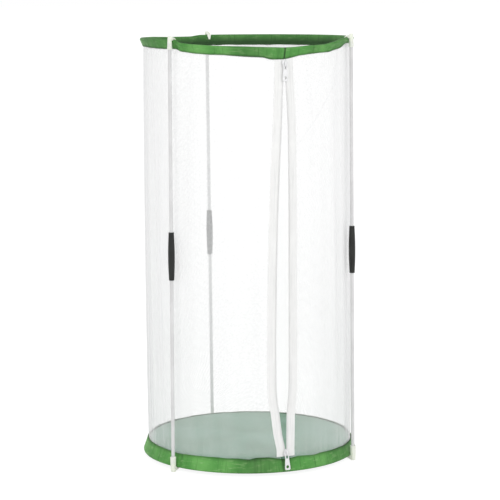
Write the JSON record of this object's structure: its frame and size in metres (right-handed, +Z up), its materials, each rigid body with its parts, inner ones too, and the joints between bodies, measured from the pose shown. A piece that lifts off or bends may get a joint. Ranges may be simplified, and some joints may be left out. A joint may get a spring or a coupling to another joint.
{
  "type": "insect cage",
  "caption": "Collapsible round net cage for insects: two bound wire hoops, net wall with a zip door, floor panel and clip-on rods.",
  "frame": {"origin": "on the cage's axis, in the plane that the three foot caps stand on", "axes": "+Z up along the cage's axis, -Y towards the zip door at the front, +X to the right as seen from the front"},
  "size_m": [0.3114, 0.3218, 0.614],
  "materials": {
    "hoop_wire": "plain spring wire, hidden inside the binding",
    "binding": "woven green binding tape, folded over the hoop and stitched",
    "net": "fine white net, see-through",
    "floor": "pale grey-green woven fabric",
    "zip_tape": "white woven zip tape",
    "zip_coil": "white nylon coil",
    "slider": "white lacquered casting",
    "rod": "white coated rod",
    "ferrule": "black moulded sleeve",
    "cap": "off-white moulded plastic, slightly translucent"
  },
  "bodies": {
    "base": {"bottom_hoop": "hoop_wire", "bottom_binding": "binding", "floor_panel": "floor", "wall_net": "net", "zip_tape_left": "zip_tape", "zip_tape_right": "zip_tape", "zip_coil_left": "zip_coil", "zip_coil_right": "zip_coil"},
    "top_ring": {"top_hoop": "hoop_wire", "top_binding": "binding", "top_net": "net"},
    "upper_slider": {"upper_slider": "slider"},
    "upper_pull": {"upper_pull": "slider"},
    "lower_slider": {"lower_slider": "slider"},
    "lower_pull": {"lower_pull": "slider"},
    "upper_rod_front_left": {"upper_pole_front_left": "rod", "top_cap_front_left": "cap"},
    "upper_rod_front_right": {"upper_pole_front_right": "rod", "top_cap_front_right": "cap"},
    "upper_rod_rear": {"upper_pole_rear": "rod", "top_cap_rear": "cap"},
    "lower_rod_front_left": {"lower_pole_front_left": "rod", "ferrule_front_left": "ferrule", "foot_cap_front_left": "cap"},
    "lower_rod_front_right": {"lower_pole_front_right": "rod", "ferrule_front_right": "ferrule", "foot_cap_front_right": "cap"},
    "lower_rod_rear": {"lower_pole_rear": "rod", "ferrule_rear": "ferrule", "foot_cap_rear": "cap"}
  },
  "joints": [
    {"name": "cage_fold", "type": "slide", "parent": "base", "child": "top_ring", "axis": [0, 0, 1], "range_m": [-0.514, 0], "deforming": ["wall_net", "zip_tape_left", "zip_tape_right", "zip_coil_left", "zip_coil_right"]},
    {"name": "upper_slider_slide", "type": "slide", "parent": "top_ring", "child": "upper_slider", "axis": [0, 0, -1], "range_m": [0, 0.514]},
    {"name": "upper_pull_hinge", "type": "hinge", "parent": "upper_slider", "child": "upper_pull", "pos_m": [0, -0.15333, 0.57426], "axis": [-1, 0, 0], "range_deg": [0, 165]},
    {"name": "lower_slider_slide", "type": "slide", "parent": "base", "child": "lower_slider", "axis": [0, 0, 1], "range_m": [0, 0.514]},
    {"name": "lower_pull_hinge", "type": "hinge", "parent": "lower_slider", "child": "lower_pull", "pos_m": [0, -0.15333, 0.03067], "axis": [-1, 0, 0], "range_deg": [0, 150]},
    {"name": "upper_rod_front_left_lift", "type": "slide", "parent": "base", "child": "upper_rod_front_left", "axis": [0.0043, 0.0023, 1], "range_m": [0, 0.036]},
    {"name": "upper_rod_front_right_lift", "type": "slide", "parent": "base", "child": "upper_rod_front_right", "axis": [-0.0037, 0.0032, 1], "range_m": [0, 0.036]},
    {"name": "upper_rod_rear_lift", "type": "slide", "parent": "base", "child": "upper_rod_rear", "axis": [-0.0066, -0.0051, 1], "range_m": [0, 0.036]},
    {"name": "lower_rod_front_left_drop", "type": "slide", "parent": "base", "child": "lower_rod_front_left", "axis": [-0.0043, -0.0023, -1], "range_m": [0, 0.014]},
    {"name": "lower_rod_front_right_drop", "type": "slide", "parent": "base", "child": "lower_rod_front_right", "axis": [0.0037, -0.0032, -1], "range_m": [0, 0.014]},
    {"name": "lower_rod_rear_drop", "type": "slide", "parent": "base", "child": "lower_rod_rear", "axis": [0.0066, 0.0051, -1], "range_m": [0, 0.014]}
  ]
}
